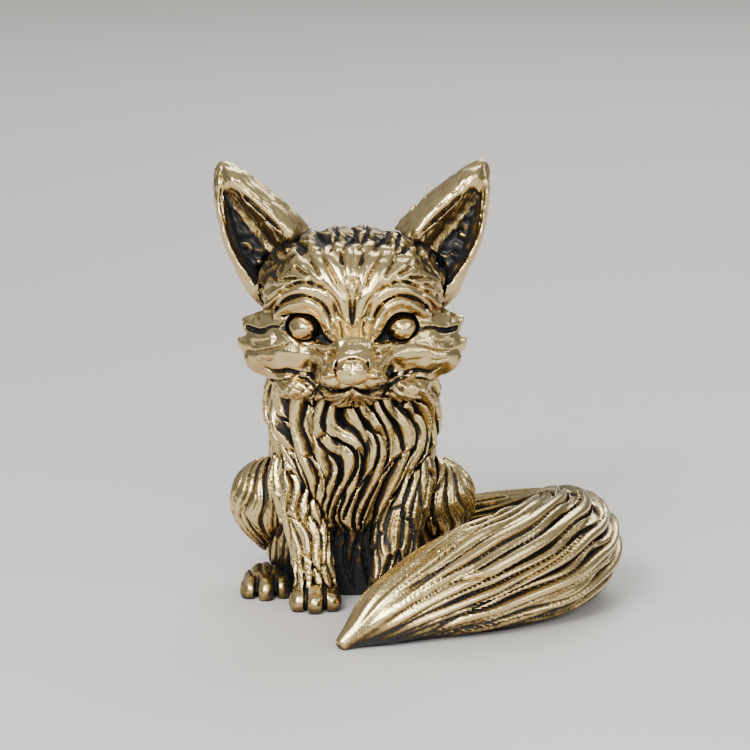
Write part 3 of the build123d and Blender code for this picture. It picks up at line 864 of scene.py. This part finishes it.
def sculpt_ruff():
    """The bib of long S-shaped locks that ends in a point."""
    ruff, index, points = clay_of("chest_ruff", RUFF_STEP, 1)
    x, y, z = points.T
    low, high = solid_box("chest_ruff")
    down = (high[2] - z) / (high[2] - low[2])
    angle = np.arctan2(x, -(y + RUFF_MIDDLE + RUFF_SLANT * down))
    bend = 0.15 * np.sin(tau * (down * 1.25 + 0.15 * np.sin(2 * angle)))
    lanes = (angle + (bend + 0.07 * ripple(points, 5.0, 31))) / tau * RUFF_COAT["around"]
    rows = down * RUFF_ROWS + 0.15 * ripple(points, 4.0, 32)
    ruff.push(index, fur(lanes, rows, **RUFF_COAT) + RUFF_GROWTH)
    return ruff


def sculpt_torso():
    """The body behind the ruff. Fine fur follows the long locks down its back and flanks."""
    torso, index, points = clay_of("torso", TORSO_STEP)
    x, y, z = points.T
    turns = np.arctan2(x, -(y + TORSO_LEAN * z)) / tau
    lanes = turns * TORSO_COAT["around"] + 0.45 * ripple(points, 7.0, 41)
    coat = fur(lanes, -z / TORSO_COAT["length"], **TORSO_COAT)
    torso.push(index, coat * smooth_step(z, 0.1, 1.2))
    return torso


def sculpt_foreleg(side):
    """A foreleg with leafy locks that run down to the paw."""
    sign = SIGNS[side]
    leg, index, points = clay_of(f"{side}_foreleg", LEG_STEP)
    x, y, z = points.T
    middle_x = sign * (FORELEG_FOOT[0] + FORELEG_LEAN[0] * z)
    middle_y = FORELEG_FOOT[1] + FORELEG_LEAN[1] * z
    turns = np.arctan2(x - middle_x, -(y - middle_y)) / tau
    lanes = turns * FORELEG_COAT["around"] + 0.3 * ripple(points, 4.0, 50 + sign)
    leg.push(index, fur(lanes, -z / FORELEG_COAT["length"], seed=52 + sign, **FORELEG_COAT))
    return leg


def sculpt_paw(side, kind):
    """A paw with deep gaps between its toes."""
    node = f"{side}_{kind}_paw"
    sign = SIGNS[side]
    paw, index, points = clay_of(node, PAW_STEP)
    x, y, _ = points.T
    low, high = solid_box(node)
    width = high[0] - low[0]
    middle = (low[0] + high[0]) / 2
    height = 0.03 * ripple(points, 1.2, 60 + sign)
    toes = smooth_step(y, low[1] + TOE_ENDS[0], low[1] + TOE_ENDS[1])
    for share in TOE_GAPS:
        gap = np.abs(x - middle - share * width - share * TOE_SPREAD * (low[1] + TOE_MIDDLE - y))
        height -= TOE_GAP_DEPTH * np.clip(1 - (gap / TOE_GAP_HALF)**2, 0, 1)**2 * toes
    height += fur(x / PAW_COAT["width"], y / PAW_COAT["length"], **PAW_COAT) * (1 - toes)
    paw.push(index, height)
    return paw


def sculpt_haunch(side):
    """A thigh: a teardrop with long strokes down its length."""
    sign = SIGNS[side]
    haunch, index, points = clay_of(f"{side}_haunch", LEG_STEP)
    x, y, z = points.T
    middle_y = sum(solid_box(f"{side}_haunch"))[1] / 2
    turns = np.arctan2(-(y - middle_y), sign * x - HAUNCH_MIDDLE) / tau
    lanes = turns * HAUNCH_COAT["around"] + 0.35 * ripple(points, 4.5, 70 + sign)
    haunch.push(index, fur(lanes, -z / HAUNCH_COAT["length"], seed=72 + sign, **HAUNCH_COAT))
    return haunch


# Brush: strands follow its middle line, given here as places on the floor and heights.
BRUSH_LINE = [
    (1.7, 5.1, 1.7), (8.5, 6.2, 2.4), (14.6, 1.8, 3.2), (16.8, -5.5, 4.2), (14.6, -12.4, 4.5),
    (8.5, -17.5, 3.9), (2.4, -20.9, 2.2), (-1.0, -23.0, 0.4),
]
# The solid's lobes round the brush, and how far they wind from its root to its tip
BRUSH_LOBES = 14
BRUSH_TWIST = radians(-170)
BRUSH_STEP = 0.125
BRUSH_COAT = {"width": 1.05, "length": 20.0, "seed": 84, "around": 2 * BRUSH_LOBES, "depth": 0.2,
              "slit": 0.26, "shingle": 0.06, "hairs": 1, "hair": 0.0, "cross": 0.08}
# Strands fade where they are too narrow to carve, and just above the floor
STRAND_WIDTHS = (0.4, 0.85)
BRUSH_FLOOR = (0.05, 0.8)
LINE_PARTS = 24
COARSE_PARTS = 6


def follow(points, line):
    """How far along a line each point's nearest place is, and its offsets sideways and up."""
    runs = np.linalg.norm(np.diff(line, axis=0), axis=1)
    line = line.astype(np.float32)
    reach = np.full(len(points), np.inf, np.float32)
    nearest = np.zeros(len(points), np.int32)

    def try_places(k):
        gap = ((points - line[k])**2).sum(axis=1)
        closer = gap < reach
        reach[closer] = gap[closer]
        nearest[closer] = k[closer]

    for k in range(0, len(line), COARSE_PARTS):
        try_places(np.full(len(points), k))
    start = nearest.copy()
    for shift in range(-COARSE_PARTS, COARSE_PARTS + 1):
        try_places(np.clip(start + shift, 0, len(line) - 1))
    tangent = np.gradient(line, axis=0)
    tangent /= np.linalg.norm(tangent, axis=1, keepdims=True)
    side = np.cross(tangent, [0, 0, 1]).astype(np.float32)
    side /= np.linalg.norm(side, axis=1, keepdims=True)
    top = np.cross(side, tangent).astype(np.float32)
    spacing = np.float32(runs.sum()) / (len(line) - 1)
    place = nearest + ((points - line[nearest]) * tangent[nearest]).sum(axis=1) / spacing
    below = np.clip(np.floor(place), 0, len(line) - 2).astype(np.int32)
    part = (place - below)[:, None]
    centre, side, top = (values[below] + part * (values[below + 1] - values[below])
                         for values in (line, side, top))
    offset = points - centre
    return place * spacing, (offset * side).sum(axis=1), (offset * top).sum(axis=1)


def sculpt_brush():
    """The brush: long flat strands with dark gaps, gathered at its tip."""
    brush, index, points = clay_of("brush", BRUSH_STEP, 2)
    line = smooth_line(BRUSH_LINE, LINE_PARTS)
    length = np.linalg.norm(np.diff(line, axis=0), axis=1).sum()
    along, sideways, upward = follow(points, line)
    turns = (np.arctan2(sideways, upward) - BRUSH_TWIST * along / length) / tau
    around = BRUSH_COAT["around"]
    lanes = turns * around + 0.2 * ripple(points, 9.0, 81)
    coat = fur(lanes, along / BRUSH_COAT["length"], **BRUSH_COAT)
    lane_width = np.hypot(sideways, upward) * tau / around
    fade = smooth_step(lane_width, *STRAND_WIDTHS) * smooth_step(points[:, 2], *BRUSH_FLOOR)
    brush.push(index, coat * fade)
    return brush


# Casting: meshes, wear, painted shade and reflection, and finish

WORKERS = 4
# The grid that shows where the figure is solid, and its margin, in millimetres
OPENNESS_STEP = 0.3
OPENNESS_MARGIN = 1
# Rays that look for cover, each at these distances, and the turn from one to the next
OPENNESS_RAYS = 26
OPENNESS_REACH = (0.45, 0.9, 1.5, 2.3, 3.4, 5.0)
RAY_TURN = tau * 0.618034
# Rounds of smoothing that fine and broad relief stand out from
FINE_AND_BROAD = (12, 48)


def solid_grid(clays):
    """Where the whole figure is solid, on one coarse grid over its box: (low corner, cells)."""
    low = np.array(cad_box[0]) / MM - OPENNESS_MARGIN
    high = np.array(cad_box[1]) / MM + OPENNESS_MARGIN
    shape = np.ceil((high - low) / OPENNESS_STEP).astype(int)
    cells = np.zeros(shape, bool)
    for clay in clays:
        picks, ranges = [], []
        for k in range(3):
            places = low[k] + OPENNESS_STEP * np.arange(shape[k])
            inner = np.rint((places - clay.low[k]) / clay.step).astype(int)
            valid = (inner >= 0) & (inner < clay.shape[k])
            picks.append(inner[valid])
            ranges.append(np.flatnonzero(valid))
        cells[np.ix_(*ranges)] |= clay.field[np.ix_(*picks)] < 0
    return low, cells


def openness(points, normals, low, cells):
    """The share of the sky that each point sees past the figure and the floor, from 0 to 1."""
    count = np.arange(OPENNESS_RAYS) + 0.5
    tilt = 1 - 2 * count / OPENNESS_RAYS
    turn = RAY_TURN * count
    flat = np.sqrt(1 - tilt**2)
    rays = np.stack([flat * np.cos(turn), flat * np.sin(turn), tilt], axis=1).astype(np.float32)
    start = (points + normals * OPENNESS_STEP).astype(np.float32)
    seen = np.zeros(len(points), np.float32)
    total = np.zeros(len(points), np.float32)
    limit = np.array(cells.shape) - 1
    for ray in rays:
        weight = np.clip(normals @ ray, 0, None).astype(np.float32)
        faces = np.flatnonzero(weight > 0)
        blocked = np.zeros(len(faces), bool)
        for reach in OPENNESS_REACH:
            place = start[faces] + ray * np.float32(reach)
            cell = np.rint((place - low) / OPENNESS_STEP).astype(int)
            inside = ((cell >= 0) & (cell <= limit)).all(axis=1)
            cell = np.clip(cell, 0, limit)
            blocked |= inside & cells[cell[:, 0], cell[:, 1], cell[:, 2]]
            blocked |= place[:, 2] < 0
        seen[faces] += weight[faces] * ~blocked
        total[faces] += weight[faces]
    return seen / np.maximum(total, 1e-3)


def relief(points, normals, edges, rounds):
    """How far each point stands out, in millimetres, after each number of rounds of smoothing."""
    near, starts = neighbours(len(points), edges)
    counts = np.diff(np.append(starts, len(near)))[:, None].astype(np.float32)
    smoothed = points.astype(np.float32)
    found = []
    for done in range(1, rounds[-1] + 1):
        smoothed = 0.5 * (smoothed + np.add.reduceat(smoothed[near], starts) / counts)
        if done in rounds:
            found.append(((points - smoothed) * normals).sum(axis=1))
    return found


def cast(form, name, material):
    """A smooth mesh object of a clay form: (object, its points, its normals, its edges)."""
    points, quads = form
    mesh = bpy.data.meshes.new(name)
    mesh.vertices.add(len(points))
    mesh.vertices.foreach_set("co", (points * MM).astype(np.float32).reshape(-1))
    mesh.loops.add(quads.size)
    mesh.loops.foreach_set("vertex_index", quads.astype(np.int32).reshape(-1))
    mesh.polygons.add(len(quads))
    mesh.polygons.foreach_set("loop_start", np.arange(0, quads.size, 4, dtype=np.int32))
    mesh.update(calc_edges=True)
    mesh.polygons.foreach_set("use_smooth", np.ones(len(quads), bool))
    normals = np.empty(len(points) * 3, np.float32)
    mesh.vertices.foreach_get("normal", normals)
    edges = np.empty(len(mesh.edges) * 2, np.int32)
    mesh.edges.foreach_get("vertices", edges)
    mesh.materials.append(material)
    return add_object(name, mesh), points, normals.reshape(-1, 3), edges.reshape(-1, 2)


def wear_and_painted_light_facts(points, normals, edges, low, cells, rub):
    """What decides how worn each point is and where it gets painted light: how it stands out, how
    open it lies (patina, and painted shade where hidden), how it faces (a painted reflection below)
    and the piece's own rub (painted shade or highlight on some pieces).
    """
    fine, broad = relief(points, normals, edges, FINE_AND_BROAD)
    return {
        "fine": fine,
        "broad": broad,
        # Open places are rubbed bright; hidden ones keep patina and also get painted shade
        "open": openness(points, normals, low, cells),
        # How far each point faces down, which gives it a painted brown reflection
        "down": np.clip(-normals[:, 2], 0, 1),
        # Each piece's own rub: painted shade on the belly and on the foreleg behind the brush, and
        # partly painted highlight and shade on the head
        "rub": rub(points, normals),
    }


def link_math(tree, operation, *values, clamp=False):
    """A Math node on sockets or plain numbers; returns its output."""
    node = tree.nodes.new("ShaderNodeMath")
    node.operation = operation
    node.use_clamp = clamp
    for k, value in enumerate(values):
        if hasattr(value, "is_output"):
            tree.links.new(value, node.inputs[k])
        else:
            node.inputs[k].default_value = value
    return node.outputs[0]


def plus(tree, *values, clamp=False):
    """The sum of sockets or plain numbers, held between 0 and 1 where clamp is set."""
    total = values[0]
    for value in values[1:-1]:
        total = link_math(tree, "ADD", total, value)
    return link_math(tree, "ADD", total, values[-1], clamp=clamp)


def off_middle(tree, value, middle, strength):
    """How far a value is from a middle one, times a strength."""
    return link_math(tree, "MULTIPLY", link_math(tree, "SUBTRACT", value, middle), strength)


def surface_noise(tree, size, detail):
    """Noise that changes over size millimetres of the object."""
    place = tree.nodes.new("ShaderNodeTexCoord")
    noise = tree.nodes.new("ShaderNodeTexNoise")
    noise.inputs["Scale"].default_value = 1 / (size * MM)
    noise.inputs["Detail"].default_value = detail
    tree.links.new(place.outputs["Object"], noise.inputs["Vector"])
    return noise.outputs[0]


def attribute(tree, name):
    """A value kept at the points of the mesh."""
    node = tree.nodes.new("ShaderNodeAttribute")
    node.attribute_name = name
    return node.outputs["Fac"]


def mixed(tree, share, one, other):
    """A colour between two others."""
    node = tree.nodes.new("ShaderNodeMix")
    node.data_type = "RGBA"
    for socket, value in zip((node.inputs[0], node.inputs[6], node.inputs[7]), (share, one, other)):
        tree.links.new(value, socket)
    return node.outputs[2]


def colour_ramp(tree, value, stops):
    """A colour that changes with a value through stops of (place, colour)."""
    ramp = tree.nodes.new("ShaderNodeValToRGB")
    tree.links.new(value, ramp.inputs["Fac"])
    for _ in stops[2:]:
        ramp.color_ramp.elements.new(1.0)
    for element, (place, colour) in zip(ramp.color_ramp.elements, stops):
        element.position = place
        element.color = (*colour, 1)
    return ramp.outputs["Color"]


# Colours of the brass from patina to bare metal, facing up and, warmer, facing down; the warmer
# colours are a painted brown reflection on surfaces facing down, and random warm tone where the
# cloud noise mixes them in
GOLDEN = [
    (0.0, (0.004, 0.004, 0.006)), (0.22, (0.010, 0.009, 0.009)), (0.36, (0.058, 0.042, 0.022)),
    (0.56, (0.20, 0.140, 0.058)), (0.80, (0.44, 0.32, 0.125)), (1.0, (0.72, 0.57, 0.28)),
]
COPPERY_TONE_AND_REFLECTION = [
    (0.0, (0.004, 0.004, 0.005)), (0.24, (0.012, 0.008, 0.006)), (0.40, (0.085, 0.038, 0.017)),
    (0.62, (0.26, 0.125, 0.047)), (1.0, (0.54, 0.32, 0.125)),
]
# Noises: size in millimetres and detail
MOTTLE = (1.3, 5)
GRAIN = (0.17, 4)
CLOUD = (3.5, 3)
# Wear starts from a base, and each cause adds to it: the openness also as painted shade, and the
# rub values of some pieces as painted shade or highlight; pairs are the middle value and the
# strength
WEAR_BASE = 0.58
FINE_WEAR = 7.0
BROAD_WEAR = 1.2
OPEN_PATINA_AND_SHADE = (0.66, 1.5)
MOTTLE_WEAR = (0.5, 0.7)
GRAIN_WEAR = (0.5, 0.55)
DOWN_PAINTED_REFLECTION = 1.1
CLOUD_WARMTH = (0.55, 2.2)
METAL_WEAR = (0.14, 0.42)
ROUGH_WEAR = (0.2, 1.0)
ROUGHNESS = (0.55, 0.21)
SPECK_ROUGHNESS = 0.35
BUMP_STRENGTH = 0.4
BUMP_HEIGHT = 0.05 * MM


def antique_brass(name, rub=0.0):
    """Brass under a dark patina that is rubbed through wherever a cloth reaches. Places that the
    figure hides get painted shade as well, some pieces carry painted shade or highlight in their
    rub values, and surfaces facing down get a painted brown reflection.
    A higher rub value shows more metal."""
    material, tree, shader = node_material(name)
    mottle, grain, cloud = (surface_noise(tree, *noise) for noise in (MOTTLE, GRAIN, CLOUD))
    specks = off_middle(tree, grain, *GRAIN_WEAR)
    wear_and_painted_light = plus(
        tree,
        link_math(tree, "MULTIPLY", attribute(tree, "fine"), FINE_WEAR),
        link_math(tree, "MULTIPLY", attribute(tree, "broad"), BROAD_WEAR),
        # Places that the figure and the floor hide keep patina and get painted shade
        off_middle(tree, attribute(tree, "open"), *OPEN_PATINA_AND_SHADE),
        attribute(tree, "rub"),
        off_middle(tree, mottle, *MOTTLE_WEAR),
        specks,
        WEAR_BASE + rub,
        clamp=True,
    )
    # A painted brown reflection on surfaces facing down, and random warm tone from the cloud noise
    warm_tone_and_reflection = plus(tree, link_math(tree, "MULTIPLY", attribute(tree, "down"), DOWN_PAINTED_REFLECTION),
                off_middle(tree, cloud, *CLOUD_WARMTH), clamp=True)
    colour = mixed(tree, warm_tone_and_reflection, colour_ramp(tree, wear_and_painted_light, GOLDEN), colour_ramp(tree, wear_and_painted_light, COPPERY_TONE_AND_REFLECTION))
    rough = plus(tree, spread(tree, wear_and_painted_light, ROUGH_WEAR, ROUGHNESS),
                 link_math(tree, "MULTIPLY", specks, SPECK_ROUGHNESS))
    bump = tree.nodes.new("ShaderNodeBump")
    bump.inputs["Strength"].default_value = BUMP_STRENGTH
    bump.inputs["Distance"].default_value = BUMP_HEIGHT
    tree.links.new(grain, bump.inputs["Height"])
    tree.links.new(colour, shader.inputs["Base Color"])
    tree.links.new(spread(tree, wear_and_painted_light, METAL_WEAR, (0.0, 1.0)), shader.inputs["Metallic"])
    tree.links.new(rough, shader.inputs["Roughness"])
    tree.links.new(bump.outputs["Normal"], shader.inputs["Normal"])
    return material


place_camera()
place_floor()
place_lights()

brass = antique_brass("antique_brass")
paw_brass = antique_brass("antique_brass_and_painted_light_paws", rub=0.12)
bead_brass = antique_brass("polished_brass_and_painted_light", rub=0.7)

Row = namedtuple("Row", "name sculpt given nodes material rub")
plan = [
    Row("fox_head", sculpt_head, (), list(HEAD_BLENDS), brass, head_rub_and_painted_light),
    Row("fox_brush", sculpt_brush, (), ["brush"], brass, no_rub),
    Row("fox_torso", sculpt_torso, (), ["torso"], brass, belly_painted_shade),
    Row("fox_ruff", sculpt_ruff, (), ["chest_ruff"], brass, ruff_rub),
    Row("fox_nose", sculpt_nose, (), ["nose"], bead_brass, no_rub),
]
# The left foreleg, behind the brush, gets painted shade all over
for side, leg_painted_shade in (("left", painted_shade_behind_brush), ("right", no_rub)):
    for word, sculpt, given, material, rub in (
        ("ear", sculpt_ear, (), brass, ear_rub),
        ("eye", sculpt_eye, (), bead_brass, no_rub),
        ("foreleg", sculpt_foreleg, (), brass, leg_painted_shade),
        ("fore_paw", sculpt_paw, ("fore",), paw_brass, no_rub),
        ("haunch", sculpt_haunch, (), brass, no_rub),
        ("hind_paw", sculpt_paw, ("hind",), paw_brass, no_rub),
    ):
        node = f"{side}_{word}"
        plan.append(Row(f"fox_{node}", sculpt, (side, *given), [node], material, rub))

with ThreadPoolExecutor(WORKERS) as pool:
    clays = list(pool.map(lambda row: row.sculpt(*row.given), plan))
    forms = list(pool.map(Clay.mesh, clays))
    corner, cells = solid_grid(clays)
    casts = [cast(form, row.name, row.material) for form, row in zip(forms, plan)]
    facts = list(pool.map(
        lambda made, row: wear_and_painted_light_facts(*made[1:], corner, cells, row.rub), casts, plan))

for (piece, *_), row, values in zip(casts, plan, facts):
    for word, value in values.items():
        layer = piece.data.attributes.new(word, "FLOAT", "POINT")
        layer.data.foreach_set("value", value.astype(np.float32))
    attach(piece, "root")
    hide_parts(*row.nodes)
